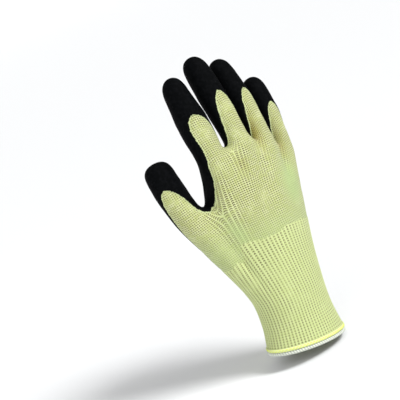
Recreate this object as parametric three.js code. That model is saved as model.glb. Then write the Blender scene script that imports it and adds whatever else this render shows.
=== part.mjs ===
// A right-hand knitted work glove with a latex palm, shown as worn: hollow, open at the wrist,
// with relaxed fingers. The origin is the centre of the cuff mouth, +Z runs up the wrist,
// the back of the hand faces -Y and the thumb lies towards -X. All lengths are millimetres.
import * as THREE from 'three';

// Driving dimensions
const CUFF_LENGTH = 88;
const CUFF_WIDTH = 64;
const CUFF_DEPTH = 46;
const PALM_WIDTH = 78;
const PALM_DEPTH = 37;
const THUMB_ROOT_HEIGHT = 39;
const FINGER_ROOT_HEIGHT = 76;
const FINGER_LENGTH = 84;
const FINGER_WIDTH = 18.6;
const FINGER_DEPTH = 19.2;
const THUMB_LENGTH = 73;
const THUMB_WIDTH = 22.8;
const THUMB_DEPTH = 21;
const KNIT_WALL = 1.2;
const LATEX_WALL = 1.0;
const CLEARANCE = 0.3;
const RIB_PITCH = 3.1;
const RIB_RELIEF = 0.5;
const WRIST_EDGE_DROP = 30;
const OVERLOCK_HEIGHT = 2.8;
const OVERLOCK_THICKNESS = 3.2;
const MARKER_HEIGHT = 2.8;
const MARKER_THICKNESS = 0.8;

// Cross-sections of the wrist: height as a share of CUFF_LENGTH, width, depth and the rise
// towards the thumb as shares of CUFF_WIDTH and CUFF_DEPTH.
const WRIST_SECTIONS = [
  { height: 0.0, width: 1.07, depth: 1.02, slant: 0.13 },
  { height: 0.26, width: 0.96, depth: 0.97, slant: 0.04 },
  { height: 0.54, width: 1.0, depth: 1.0, slant: 0.0 },
];

// The oval of the palm where the thumb leaves it: centre and arch as shares of PALM_WIDTH and
// PALM_DEPTH, slant as the drop towards the little finger, a share of THUMB_ROOT_HEIGHT.
const PALM_OVAL = { x: 0.055, y: -0.10, width: 1.0, depth: 1.0, arch: 0.10, slant: 0.3 };
const OVAL_POWER = 2.3;
const OVAL_CORNER = 0.84;

// Fingers from the radial side: x and y of the root as shares of PALM_WIDTH and PALM_DEPTH,
// root height as a share of FINGER_ROOT_HEIGHT, length of FINGER_LENGTH, width of FINGER_WIDTH
// and FINGER_DEPTH, base as the fullness of the part below the tongue's end, tongue as the bare
// share of the back. Roll turns the back towards the thumb; splay and curl are given at the
// root, the middle and the tip. Angles are degrees.
const FINGERS = [
  {
    x: -0.30, y: -0.11, root: 1.0, length: 0.835, width: 1.0, base: 1.22, tongue: 0.54,
    roll: 22, splay: [-6, -4, 4], curl: [4, 11, 16],
  },
  {
    x: 0.006, y: -0.27, root: 1.02, length: 0.925, width: 1.04, base: 1.0, tongue: 0.57,
    roll: 0, splay: [-2, -1, 1], curl: [10, 18, 22],
  },
  {
    x: 0.285, y: -0.21, root: 0.94, length: 0.89, width: 0.98, base: 1.0, tongue: 0.58,
    roll: -14, splay: [2, 2, 0], curl: [12, 22, 30],
  },
  {
    x: 0.527, y: -0.05, root: 0.76, length: 0.755, width: 0.95, base: 0.95, tongue: 0.59,
    roll: -6, splay: [9, 7, 2], curl: [10, 20, 28],
  },
];

// The thumb: its root as shares of PALM_WIDTH, PALM_DEPTH and THUMB_ROOT_HEIGHT.
const THUMB = {
  x: -0.555, y: 0.20, root: 0.52, base: 1.0, tongue: 0.71, roll: 0,
  splay: [-30, -10, 2], curl: [6, 12, 16],
};

// Stations along a digit: place as a share of its tongue, then of the length past the tongue,
// with the width there, and the column at which the bare tongue ends on either side.
const FINGER_TONGUE = [
  { place: 0.12, width: 0.93, far: 6, near: 15 },
  { place: 0.30, width: 0.96, far: 5, near: 15 },
  { place: 0.57, width: 1.0, far: 4, near: 16 },
  { place: 0.83, width: 1.02, far: 3, near: 17 },
  { place: 1.0, width: 1.0, far: 2, near: 18 },
];
const THUMB_TONGUE = [
  { place: 0.24, width: 0.98, far: 4, near: -3 },
  { place: 0.48, width: 0.97, far: 3, near: -2 },
  { place: 0.68, width: 0.98, far: 2, near: -1 },
  { place: 0.88, width: 1.0, far: 1, near: -1 },
  { place: 1.0, width: 0.99, far: 0, near: 0 },
];
const TIP = [
  { place: 0.34, width: 0.98 },
  { place: 0.64, width: 0.96 },
  { place: 0.83, width: 0.83 },
  { place: 0.95, width: 0.52 },
];

// Columns of the surface: a digit has four sides of four columns, the palm has four fingers
// on its back and four on its face, and the thumb's root adds twelve columns to the wrist.
const SIDE = 4;
const LOOP = 4 * SIDE;
const BACK = FINGERS.length * SIDE;
const PALM_COLUMNS = 2 * (BACK + SIDE);
const WRIST_COLUMNS = PALM_COLUMNS + 2 * SIDE;
const FACE_END = 2 * BACK + SIDE;
const COAT_FROM = BACK + SIDE / 2;
const COAT_TO = FACE_END + SIDE + 1;
const TONGUE_START = { far: 6, near: 14 };
const INDEX_TONGUE_START = { far: 6, near: 15 };
const THUMB_TONGUE_START = { far: 5, near: -3 };
const NO_TONGUE = { near: [2, 2], far: [2, 2] };

// The cuff ends at this share of the way from the top wrist section to the thumb's split.
const CUFF_TOP_SHARE = 0.62;
const CUFF_TOP_GAP = 0.8;

// How far a web rises in its middle. The thumb's web also reaches towards the thumb and leans
// towards the palm's face, its corners rise and reach as well, and its inner side, round the
// given column, ends at a station of the thumb. The corners stand out from the palm's back and
// face by a share of PALM_DEPTH.
const WEB_RISE = 4;
const THUMB_WEB = { rise: 9, reach: 1, lean: 4, cornerRise: 4, cornerReach: 2, column: 6, end: 1 };
const HEEL_FULLNESS = 0.07;

// Shares of the way at which extra rings lie: on the palm, on the wrist and on the coating's
// lower part, whose drop at the sides is a share of WRIST_EDGE_DROP.
const PALM_RINGS = [0.33, 0.66];
const CUFF_RINGS = [0, 0.2, 0.45, 0.72, 1];
const SKIRT_RINGS = [0.34, 0.67, 1];
const SKIRT_SIDE_DROP = 0.25;
const SKIRT_FULLNESS = 0.8;

const HEEL_HEIGHT = CUFF_LENGTH + THUMB_ROOT_HEIGHT;
const WRIST_SPAN = CUFF_LENGTH / HEEL_HEIGHT;
const CENTRE_STEPS = 24;
const BEVEL_SHARE = 0.25;

const radians = THREE.MathUtils.degToRad;
const mix = THREE.MathUtils.lerp;
const middle = (a, b) => a.clone().add(b).multiplyScalar(0.5);
const wrap = (column, count) => ((column % count) + count) % count;

// A point on an oval with the given half sizes, squarer than an ellipse as the power grows.
function ovalPoint(cosine, sine, halfWidth, halfDepth, power) {
  const rounded = (value) => Math.sign(value) * Math.abs(value) ** (2 / power);
  return [halfWidth * rounded(cosine), halfDepth * rounded(sine)];
}

// One ring of the wrist, its columns evenly spread round an ellipse.
function wristRing(section) {
  const points = [];
  for (let column = 0; column < WRIST_COLUMNS; column += 1) {
    const angle = ((column - COAT_FROM) * 2 * Math.PI) / WRIST_COLUMNS;
    const x = (Math.cos(angle) * section.width * CUFF_WIDTH) / 2;
    const y = (Math.sin(angle) * section.depth * CUFF_DEPTH) / 2;
    points.push(new THREE.Vector3(x, y, section.height * CUFF_LENGTH - section.slant * x));
  }
  return points;
}

// The direction of a digit at a share of its length, from its splay and curl.
function digitFrame(digit, share) {
  const bend = (angles) => {
    const [start, middle, end] = angles.map(radians);
    return share < 0.5 ? mix(start, middle, 2 * share) : mix(middle, end, 2 * share - 1);
  };
  const splay = bend(digit.splay);
  const curl = bend(digit.curl);
  const along = new THREE.Vector3(
    Math.sin(splay) * Math.cos(curl),
    Math.sin(curl),
    Math.cos(splay) * Math.cos(curl),
  );
  const face = new THREE.Vector3(0, 1, 0).addScaledVector(along, -along.y).normalize();
  const across = new THREE.Vector3().crossVectors(face, along);
  return { along, face, across };
}

// The centre line of a digit, walked in short steps from its root.
function digitCentre(digit, share) {
  const centre = digit.origin.clone();
  const stride = (share * digit.reach) / CENTRE_STEPS;
  for (let step = 0; step < CENTRE_STEPS; step += 1) {
    const here = (share * (step + 0.5)) / CENTRE_STEPS;
    centre.addScaledVector(digitFrame(digit, here).along, stride);
  }
  return centre;
}

// The sixteen points round a digit at a share of its length. Column 2 is the middle of the
// back of a finger, column 6 its ulnar side and column 10 the middle of its face.
function digitRing(digit, share, width) {
  const centre = digitCentre(digit, share);
  const frame = digitFrame(digit, share);
  const turn = radians(digit.roll) * Math.min(share / digit.tongue, 1);
  const girth = share <= digit.tongue ? width * digit.base : width;
  const points = [];
  for (let column = 0; column < LOOP; column += 1) {
    const angle = (5 / 4) * Math.PI + (column * 2 * Math.PI) / LOOP - turn;
    const point = centre.clone();
    point.addScaledVector(frame.across, (Math.cos(angle) * digit.width * girth) / 2);
    point.addScaledVector(frame.face, (Math.sin(angle) * digit.depth * girth) / 2);
    points.push(point);
  }
  return points;
}

// Where a digit starts, its root height a share of the given height above the cuff.
function digitOrigin(row, height) {
  return new THREE.Vector3(
    row.x * PALM_WIDTH,
    row.y * PALM_DEPTH,
    CUFF_LENGTH + row.root * height,
  );
}

// A finger with its root, reach and girth worked out from the driving dimensions.
function makeFinger(row) {
  return {
    ...row,
    origin: digitOrigin(row, FINGER_ROOT_HEIGHT),
    reach: row.length * FINGER_LENGTH,
    width: row.width * FINGER_WIDTH,
    depth: row.width * FINGER_DEPTH,
    stations: FINGER_TONGUE,
    webEnd: 0,
  };
}

// The thumb, worked out in the same way.
function makeThumb(row) {
  return {
    ...row,
    origin: digitOrigin(row, THUMB_ROOT_HEIGHT),
    reach: THUMB_LENGTH,
    width: THUMB_WIDTH,
    depth: THUMB_DEPTH,
    stations: THUMB_TONGUE,
    webEnd: THUMB_TONGUE[THUMB_WEB.end].place,
  };
}

// The columns of the palm oval: the back from the radial corner, the ulnar side, then the face.
function palmOval() {
  const points = [];
  const halfWidth = (PALM_OVAL.width * PALM_WIDTH) / 2;
  const halfDepth = (PALM_OVAL.depth * PALM_DEPTH) / 2;
  const cornerAngle = Math.acos(OVAL_CORNER);
  for (let column = 0; column < PALM_COLUMNS; column += 1) {
    let cosine;
    let sine;
    if (column <= BACK) {
      cosine = mix(-OVAL_CORNER, OVAL_CORNER, column / BACK);
      sine = -Math.sqrt(1 - cosine ** 2);
    } else if (column < BACK + SIDE) {
      const angle = mix(-cornerAngle, cornerAngle, (column - BACK) / SIDE);
      cosine = Math.cos(angle);
      sine = Math.sin(angle);
    } else if (column <= FACE_END) {
      cosine = mix(OVAL_CORNER, -OVAL_CORNER, (column - BACK - SIDE) / BACK);
      sine = Math.sqrt(1 - cosine ** 2);
    } else {
      const angle = mix(Math.PI - cornerAngle, Math.PI + cornerAngle, (column - FACE_END) / SIDE);
      cosine = Math.cos(angle);
      sine = Math.sin(angle);
    }
    const [x, y] = ovalPoint(cosine, sine, halfWidth, halfDepth, OVAL_POWER);
    const offset = x / halfWidth;
    points.push(new THREE.Vector3(
      x + PALM_OVAL.x * PALM_WIDTH,
      y + (PALM_OVAL.y + PALM_OVAL.arch * offset ** 2) * PALM_DEPTH,
      CUFF_LENGTH + THUMB_ROOT_HEIGHT * (1 - PALM_OVAL.slant * Math.max(offset, 0)),
    ));
  }
  return points;
}

// The ring where thumb and palm part, and the web between them, from the back to the face.
function thumbSplit(thumb) {
  const oval = palmOval();
  const root = digitRing(thumb, 0, 1);
  const ring = oval.slice(0, FACE_END + 1);
  ring[0] = middle(oval[0], root[SIDE]);
  ring[FACE_END] = middle(oval[FACE_END], root[2 * SIDE]);
  const corner = new THREE.Vector3(-THUMB_WEB.cornerReach, 0, THUMB_WEB.cornerRise);
  ring[0].add(corner).y -= HEEL_FULLNESS * PALM_DEPTH;
  ring[FACE_END].add(corner).y += HEEL_FULLNESS * PALM_DEPTH;
  for (let step = 1; step < 3 * SIDE; step += 1) {
    ring.push(root[(2 * SIDE + step) % LOOP]);
  }
  const web = [];
  for (let step = 1; step < SIDE; step += 1) {
    const point = middle(oval[PALM_COLUMNS - step], root[SIDE + step]);
    const bow = Math.sin((Math.PI * step) / SIDE);
    point.x -= THUMB_WEB.cornerReach + THUMB_WEB.reach * bow;
    point.y += THUMB_WEB.lean * bow;
    point.z = mix(ring[0].z, ring[FACE_END].z, step / SIDE) + THUMB_WEB.rise * bow;
    web.push(point);
  }
  return { ring, web };
}

// The ring where the fingers part, and the three webs between them.
function fingerSplit(fingers) {
  const roots = fingers.map((finger) => digitRing(finger, 0, 1));
  const ring = new Array(PALM_COLUMNS);
  const last = fingers.length - 1;
  roots.forEach((root, index) => {
    for (let step = 0; step <= SIDE; step += 1) {
      const back = index * SIDE + step;
      const face = FACE_END - index * SIDE - step;
      ring[back] = ring[back] ? middle(ring[back], root[step]) : root[step];
      ring[face] = ring[face] ? middle(ring[face], root[3 * SIDE - step]) : root[3 * SIDE - step];
    }
  });
  for (let step = 1; step < SIDE; step += 1) {
    ring[BACK + step] = roots[last][SIDE + step];
    ring[FACE_END + step] = roots[0][3 * SIDE + step];
  }
  const webs = [];
  for (let index = 0; index < last; index += 1) {
    const web = [];
    for (let step = 1; step < SIDE; step += 1) {
      const point = middle(roots[index][SIDE + step], roots[index + 1][LOOP - step]);
      point.z += WEB_RISE * Math.sin((Math.PI * step) / SIDE);
      web.push(point);
    }
    webs.push(web);
  }
  return { ring, webs };
}

// A ring between two rings at the share t, on smooth lines that run on towards the rings
// before and after.
function ringBetween(before, from, to, after, t) {
  return from.map((start, column) => {
    const end = to[column];
    const lead = end.clone().sub(before[column]).multiplyScalar(0.5);
    const trail = after[column].clone().sub(start).multiplyScalar(0.5);
    const span = end.distanceTo(start);
    lead.setLength(span);
    trail.setLength(span);
    const point = start.clone().multiplyScalar(2 * t ** 3 - 3 * t ** 2 + 1);
    point.addScaledVector(lead, t ** 3 - 2 * t ** 2 + t);
    point.addScaledVector(end, -2 * t ** 3 + 3 * t ** 2);
    point.addScaledVector(trail, t ** 3 - t ** 2);
    return point;
  });
}

// A surface as points and triangles, each triangle marked as knitted, coated or both.
class Surface {
  constructor() {
    this.points = [];
    this.triangles = [];
  }

  add(point) {
    this.points.push(point);
    return this.points.length - 1;
  }

  addAll(points) {
    return points.map((point) => this.add(point));
  }

  triangle(a, b, c, knitted, coated) {
    this.triangles.push({ corners: [a, b, c], knitted, coated });
  }

  // Joins two loops of columns. The bare part lies between the near and far columns, given
  // for the lower and the upper loop, and a step between them follows a diagonal.
  band(lower, upper, bare) {
    const count = lower.length;
    for (let column = 0; column < count; column += 1) {
      const next = wrap(column + 1, count);
      const [a, b, c, d] = [lower[column], lower[next], upper[next], upper[column]];
      const state = bareState(bare, column, count);
      if (state === 'near') {
        this.triangle(a, b, c, true, false);
        this.triangle(a, c, d, true, true);
      } else if (state === 'far') {
        this.triangle(a, b, d, true, false);
        this.triangle(b, c, d, true, true);
      } else {
        this.triangle(a, b, c, true, state === 'coated');
        this.triangle(a, c, d, true, state === 'coated');
      }
    }
  }

  // Closes a loop with a fan round one point.
  fan(loop, point, coated) {
    const tip = this.add(point);
    loop.forEach((corner, column) => {
      this.triangle(corner, loop[(column + 1) % loop.length], tip, true, coated);
    });
  }

  // Unit directions out of the surface, one for each point.
  normals() {
    const sums = this.points.map(() => new THREE.Vector3());
    const edge = new THREE.Vector3();
    const side = new THREE.Vector3();
    this.triangles.forEach(({ corners }) => {
      corners.forEach((corner, place) => {
        const next = this.points[corners[(place + 1) % 3]];
        const last = this.points[corners[(place + 2) % 3]];
        edge.subVectors(next, this.points[corner]);
        side.subVectors(last, this.points[corner]);
        const angle = edge.angleTo(side);
        sums[corner].addScaledVector(edge.cross(side).normalize(), angle);
      });
    });
    return sums.map((sum) => sum.normalize());
  }
}

// What the quad that starts at a column is: bare, coated, or cut by the edge of the coating
// on the near or the far side of the bare part.
function bareState(bare, column, count) {
  const [below, above] = bare.near.map((near, level) => (
    wrap(column - near, count) < wrap(bare.far[level] - near, count)
  ));
  if (below === above) {
    return below ? 'bare' : 'coated';
  }
  return wrap(column - bare.near[0], count) === 0 ? 'near' : 'far';
}

// The ring of a digit's station. The thumb's inner side runs from the web on its root loop
// straight to the station where the web ends.
function stationRing(digit, station, root) {
  const ring = digitRing(digit, station.place * digit.tongue, station.width);
  if (station.place >= digit.webEnd) {
    return ring;
  }
  const end = digitRing(digit, digit.webEnd * digit.tongue, 1);
  const share = station.place / digit.webEnd;
  return ring.map((point, column) => {
    const hold = THREE.MathUtils.clamp(2 - Math.abs(column - THUMB_WEB.column) / 2, 0, 1);
    return point.lerp(root[column].clone().lerp(end[column], share), hold);
  });
}

// Adds a digit on its root loop, with its bare tongue on the back and a closed tip.
function addDigit(surface, digit, loop, start) {
  const root = loop.map((id) => surface.points[id]);
  let lower = loop;
  let edge = start;
  digit.stations.forEach((station) => {
    const upper = surface.addAll(stationRing(digit, station, root));
    const bare = { near: [edge.near, station.near], far: [edge.far, station.far] };
    surface.band(lower, upper, bare);
    lower = upper;
    edge = station;
  });
  TIP.forEach((station) => {
    const share = mix(digit.tongue, 1, station.place);
    const upper = surface.addAll(digitRing(digit, share, station.width));
    surface.band(lower, upper, NO_TONGUE);
    lower = upper;
  });
  surface.fan(lower, digitCentre(digit, 1), true);
}

// The part of the loop of columns below the cuff's top that the coating hangs over.
function addWristSkirt(surface, top, rings) {
  let upper = top;
  rings.forEach((points) => {
    const lower = surface.addAll(points);
    for (let place = 0; place + 1 < lower.length; place += 1) {
      surface.triangle(lower[place], lower[place + 1], upper[place + 1], false, true);
      surface.triangle(lower[place], upper[place + 1], upper[place], false, true);
    }
    upper = lower;
  });
}

const thumb = makeThumb(THUMB);
const fingers = FINGERS.map(makeFinger);
const wristRings = WRIST_SECTIONS.map(wristRing);
const split = thumbSplit(thumb);
const roots = fingerSplit(fingers);

// The ring that follows the thumb's split on the palm, and on the thumb's own columns.
const afterSplit = split.ring.map((point, column) => (
  column <= FACE_END
    ? roots.ring[column]
    : digitRing(thumb, thumb.webEnd * thumb.tongue, 1)[(2 * SIDE + column - FACE_END) % LOOP]
));

// A ring of the wrist and heel of the hand, from the mouth at 0 to the thumb's split at 1.
function heelRing(share) {
  const rings = [...wristRings, split.ring];
  const ends = [...WRIST_SECTIONS.map((section) => section.height * WRIST_SPAN), 1];
  let index = 0;
  while (index + 2 < rings.length && share > ends[index + 1]) {
    index += 1;
  }
  const before = rings[Math.max(index - 1, 0)];
  const after = rings[index + 2] ?? afterSplit;
  const place = (share - ends[index]) / (ends[index + 1] - ends[index]);
  return ringBetween(before, rings[index], rings[index + 1], after, place);
}

// The whole hand: heel, palm, thumb and fingers, with the coated parts marked.
function handSurface() {
  const surface = new Surface();
  const wristTop = mix(WRIST_SECTIONS.at(-1).height * WRIST_SPAN, 1, CUFF_TOP_SHARE);
  const heel = { near: [COAT_TO, COAT_TO], far: [COAT_FROM, COAT_FROM] };

  const bottom = surface.addAll(heelRing(wristTop));
  const knuckle = surface.addAll(heelRing(mix(wristTop, 1, 0.5)));
  const ring = surface.addAll(split.ring);
  surface.band(bottom, knuckle, heel);
  surface.band(knuckle, ring, heel);

  const web = surface.addAll(split.web);
  const palmLoop = [...ring.slice(0, FACE_END + 1), ...[...web].reverse()];
  const thumbLoop = [
    ...ring.slice(FACE_END + 2 * SIDE, WRIST_COLUMNS),
    ring[0],
    ...web,
    ...ring.slice(FACE_END, FACE_END + 2 * SIDE),
  ];
  addDigit(surface, thumb, thumbLoop, THUMB_TONGUE_START);

  const palmPoints = palmLoop.map((id) => surface.points[id]);
  const beforePalm = palmPoints.map((point, column) => (
    column <= FACE_END
      ? wristRings.at(-1)[column]
      : point.clone().add(new THREE.Vector3(0, 0, -THUMB_ROOT_HEIGHT))
  ));
  const afterRoots = roots.ring.map((point, column) => {
    const place = column <= BACK ? column : FACE_END - column;
    const index = THREE.MathUtils.clamp(Math.floor(place / SIDE), 0, fingers.length - 1);
    return point.clone().addScaledVector(digitFrame(fingers[index], 0).along, FINGER_WIDTH);
  });
  let lower = palmLoop;
  const radial = -SIDE / 4;
  const palmEdge = { near: [radial, radial], far: [COAT_FROM, COAT_FROM] };
  PALM_RINGS.forEach((share) => {
    const upper = surface.addAll(ringBetween(beforePalm, palmPoints, roots.ring, afterRoots, share));
    surface.band(lower, upper, palmEdge);
    lower = upper;
  });
  const rootLoop = surface.addAll(roots.ring);
  surface.band(lower, rootLoop, palmEdge);

  const webs = roots.webs.map((points) => surface.addAll(points));
  fingers.forEach((finger, index) => {
    const back = rootLoop.slice(index * SIDE, index * SIDE + SIDE + 1);
    const faceFrom = FACE_END - (index + 1) * SIDE;
    const face = rootLoop.slice(faceFrom, faceFrom + SIDE + 1);
    const far = webs[index] ?? rootLoop.slice(BACK + 1, BACK + SIDE);
    const near = index > 0 ? [...webs[index - 1]].reverse() : rootLoop.slice(FACE_END + 1);
    const start = index > 0 ? TONGUE_START : INDEX_TONGUE_START;
    addDigit(surface, finger, [...back, ...far, ...face, ...near], start);
  });

  const skirtColumns = COAT_TO - COAT_FROM;
  const skirt = SKIRT_RINGS.map((share) => {
    const points = [];
    for (let column = COAT_FROM; column <= COAT_TO; column += 1) {
      const across = (column - COAT_FROM) / skirtColumns;
      const drop = mix(SKIRT_SIDE_DROP, 1, Math.sin(Math.PI * across) ** SKIRT_FULLNESS);
      const fall = (share * drop * WRIST_EDGE_DROP) / HEEL_HEIGHT;
      points.push(heelRing(wristTop - fall)[column]);
    }
    return points;
  });
  addWristSkirt(surface, bottom.slice(COAT_FROM, COAT_TO + 1), skirt);
  return { surface, wristTop };
}

// Turns points and triangles into a mesh with its own material.
function makeMesh(name, positions, triangles, look) {
  const geometry = new THREE.BufferGeometry();
  const flat = positions.flatMap((point) => [point.x, point.y, point.z]);
  geometry.setAttribute('position', new THREE.Float32BufferAttribute(flat, 3));
  geometry.setIndex(triangles.flat());
  geometry.computeVertexNormals();
  const mesh = new THREE.Mesh(geometry, new THREE.MeshStandardMaterial(look));
  mesh.name = name;
  return mesh;
}

// A wall between two offsets of the chosen triangles, its open edges closed by a strip.
function wallMesh(name, surface, chosen, inner, outer, look) {
  const normals = surface.normals();
  const positions = [];
  const place = new Map();
  const triangles = [];
  const edges = new Map();
  const cornerOf = (corner) => {
    if (!place.has(corner)) {
      place.set(corner, positions.length);
      const point = surface.points[corner];
      positions.push(point.clone().addScaledVector(normals[corner], outer));
      positions.push(point.clone().addScaledVector(normals[corner], inner));
    }
    return place.get(corner);
  };
  surface.triangles.filter(chosen).forEach(({ corners }) => {
    const [a, b, c] = corners.map(cornerOf);
    triangles.push([a, b, c], [a + 1, c + 1, b + 1]);
    [[a, b], [b, c], [c, a]].forEach(([from, to]) => {
      if (!edges.delete(`${to} ${from}`)) {
        edges.set(`${from} ${to}`, [from, to]);
      }
    });
  });
  edges.forEach(([from, to]) => {
    triangles.push([from, from + 1, to + 1], [from, to + 1, to]);
  });
  return makeMesh(name, positions, triangles, look);
}

// A closed ring round the wrist. Each row gives a share up the wrist, a rise above it and an
// offset outwards at a column, and the rows run round the section of the ring.
function wristBand(name, columns, rows, look) {
  const positions = [];
  rows.forEach(({ share, rise, offset }) => {
    const curve = new THREE.CatmullRomCurve3(heelRing(share), true);
    for (let column = 0; column < columns; column += 1) {
      const point = curve.getPoint(column / columns);
      const tangent = curve.getTangent(column / columns);
      const out = new THREE.Vector3(tangent.y, -tangent.x, 0).normalize();
      point.addScaledVector(out, offset(column));
      point.z += rise;
      positions.push(point);
    }
  });
  const triangles = [];
  rows.forEach((row, index) => {
    const lower = index * columns;
    const upper = ((index + 1) % rows.length) * columns;
    for (let column = 0; column < columns; column += 1) {
      const next = (column + 1) % columns;
      triangles.push([lower + column, lower + next, upper + next]);
      triangles.push([lower + column, upper + next, upper + column]);
    }
  });
  return makeMesh(name, positions, triangles, look);
}

const KNIT_LOOK = { color: 0xd2db98, roughness: 0.9, metalness: 0 };
const LATEX_LOOK = { color: 0x0d0f12, roughness: 0.6, metalness: 0 };
const EDGE_LOOK = { color: 0xdfe4da, roughness: 0.85, metalness: 0 };
const MARKER_LOOK = { color: 0xd3e23a, roughness: 0.8, metalness: 0 };

const { surface, wristTop } = handSurface();
const liner = wallMesh('knit_liner', surface, (face) => face.knitted, -KNIT_WALL, 0, KNIT_LOOK);
const coating = wallMesh(
  'latex_coating',
  surface,
  (face) => face.coated,
  CLEARANCE,
  CLEARANCE + LATEX_WALL,
  LATEX_LOOK,
);

// The ribbed wrist stands on the overlocked edge and ends just under the glove body.
const cuffBase = OVERLOCK_HEIGHT + CLEARANCE;
const cuffTop = wristTop - CUFF_TOP_GAP / HEEL_HEIGHT;
const wristPerimeter = Math.PI * Math.sqrt((CUFF_WIDTH ** 2 + CUFF_DEPTH ** 2) / 2);
const ribColumns = 2 * Math.round(wristPerimeter / RIB_PITCH);
const cuffOuter = (column) => (column % 2 === 0 ? 0 : -RIB_RELIEF);
const cuffInner = () => -RIB_RELIEF - KNIT_WALL;
const cuffRings = CUFF_RINGS.map((place) => (
  { share: place * cuffTop, rise: (1 - place) * cuffBase }
));
const cuffRows = [
  ...cuffRings.map((ring) => ({ ...ring, offset: cuffOuter })),
  ...[...cuffRings].reverse().map((ring) => ({ ...ring, offset: cuffInner })),
];
const cuff = wristBand('rib_cuff', ribColumns, cuffRows, KNIT_LOOK);

// A rounded thread ring, from its lower outer corner up the outside and down the inside.
function threadRing(name, base, height, inner, outer, look) {
  const bevel = BEVEL_SHARE * Math.min(height, outer - inner);
  const rows = [
    { rise: base, offset: outer - bevel },
    { rise: base + bevel, offset: outer },
    { rise: base + height - bevel, offset: outer },
    { rise: base + height, offset: outer - bevel },
    { rise: base + height, offset: inner + bevel },
    { rise: base + height - bevel, offset: inner },
    { rise: base + bevel, offset: inner },
    { rise: base, offset: inner + bevel },
  ].map(({ rise, offset }) => ({ share: 0, rise, offset: () => offset }));
  return wristBand(name, WRIST_COLUMNS, rows, look);
}

const edgeMiddle = -(RIB_RELIEF + KNIT_WALL) / 2;
const overlock = threadRing(
  'overlock_edge',
  0,
  OVERLOCK_HEIGHT,
  edgeMiddle - OVERLOCK_THICKNESS / 2,
  edgeMiddle + OVERLOCK_THICKNESS / 2,
  EDGE_LOOK,
);
const marker = threadRing(
  'marker_stitching',
  OVERLOCK_HEIGHT + 2 * CLEARANCE,
  MARKER_HEIGHT,
  CLEARANCE,
  CLEARANCE + MARKER_THICKNESS,
  MARKER_LOOK,
);

const group = new THREE.Group();
group.add(liner, coating, cuff, overlock, marker);
export default group;
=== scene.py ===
"""Looks of a right-hand knitted work glove with a latex palm.

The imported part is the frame: its origin is the centre of the cuff mouth, +Z runs up the
wrist, the back of the hand faces -Y and the thumb lies towards -X. The form is worked out
in millimetres from the driving sizes of the part's source, and placed in metres.
"""

import logging
import math
from collections.abc import Callable, Sequence
from dataclasses import dataclass, field
from enum import Enum
from functools import partial
from typing import Any

import bmesh
import bpy
from mathutils import Matrix, Vector, noise


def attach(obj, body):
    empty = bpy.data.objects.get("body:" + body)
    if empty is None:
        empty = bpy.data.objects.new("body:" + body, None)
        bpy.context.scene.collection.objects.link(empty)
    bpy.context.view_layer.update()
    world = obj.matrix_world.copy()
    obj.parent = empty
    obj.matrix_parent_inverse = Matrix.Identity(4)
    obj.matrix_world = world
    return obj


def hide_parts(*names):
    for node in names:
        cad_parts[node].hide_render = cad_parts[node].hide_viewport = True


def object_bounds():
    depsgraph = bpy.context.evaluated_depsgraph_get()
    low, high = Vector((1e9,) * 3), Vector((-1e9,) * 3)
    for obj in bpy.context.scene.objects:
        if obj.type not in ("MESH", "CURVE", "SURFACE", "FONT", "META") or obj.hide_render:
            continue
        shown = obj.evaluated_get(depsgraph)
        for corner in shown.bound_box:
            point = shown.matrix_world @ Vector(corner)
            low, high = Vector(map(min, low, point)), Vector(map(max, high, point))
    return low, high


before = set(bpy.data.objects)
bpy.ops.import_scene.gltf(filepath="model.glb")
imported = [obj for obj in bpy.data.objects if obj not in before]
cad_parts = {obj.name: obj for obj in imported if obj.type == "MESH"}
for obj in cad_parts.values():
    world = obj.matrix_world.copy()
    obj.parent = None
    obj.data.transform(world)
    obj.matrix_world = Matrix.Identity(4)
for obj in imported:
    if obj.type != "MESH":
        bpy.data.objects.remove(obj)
CAD_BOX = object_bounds()
LOG = logging.getLogger("glove")

MM = 0.001
SIDE = 4
LOOP = 4 * SIDE
BACK = 4 * SIDE
PALM_COLUMNS = 2 * (BACK + SIDE)
WRIST_COLUMNS = PALM_COLUMNS + 2 * SIDE
FACE_END = 2 * BACK + SIDE
COAT_FROM = BACK + SIDE / 2
COAT_TO = FACE_END + SIDE + 1

Points = list[Vector]
Colour = tuple[float, float, float, float]
Table = Sequence[tuple[float, float]]
SMOOTH = {"interpolation_type": "SMOOTHSTEP"}


def mix(start: float, end: float, share: float) -> float:
    """Returns the number at a share of the way from start to end."""
    return start + (end - start) * share


def middle(first: Vector, second: Vector) -> Vector:
    """Returns the point halfway between two points."""
    return (first + second) / 2


def ease(value: float) -> float:
    """Returns a smooth step from 0 to 1 for a value that goes from 0 to 1."""
    held = min(max(value, 0.0), 1.0)
    return held * held * (3 - 2 * held)


def from_table(table: Table, place: float) -> float:
    """Reads a table of places and values at a place between them.

    Args:
        table: Pairs of place and value, in rising order of place.
        place: Where to read.

    Returns:
        The value there, on straight lines between the pairs.
    """
    for (start, low), (end, high) in zip(table, table[1:]):
        if place <= end:
            return mix(low, high, max(place - start, 0.0) / (end - start))
    return table[-1][1]


@dataclass(frozen=True)
class WristSection:
    """A cross-section of the wrist, as shares of the cuff's length, width and depth."""

    height: float
    width: float
    depth: float
    slant: float


# The rings of a digit: the place along its tongue, or along its tip, and the share of its width.
FINGER_STATIONS = ((0.12, 0.93), (0.30, 0.96), (0.57, 1.0), (0.83, 1.02), (1.0, 1.0))
THUMB_STATIONS = ((0.24, 0.98), (0.48, 0.97), (0.68, 0.98), (0.88, 1.0), (1.0, 0.99))
TIP_STATIONS = ((0.34, 0.98), (0.64, 0.96), (0.83, 0.83), (0.95, 0.52))


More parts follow.
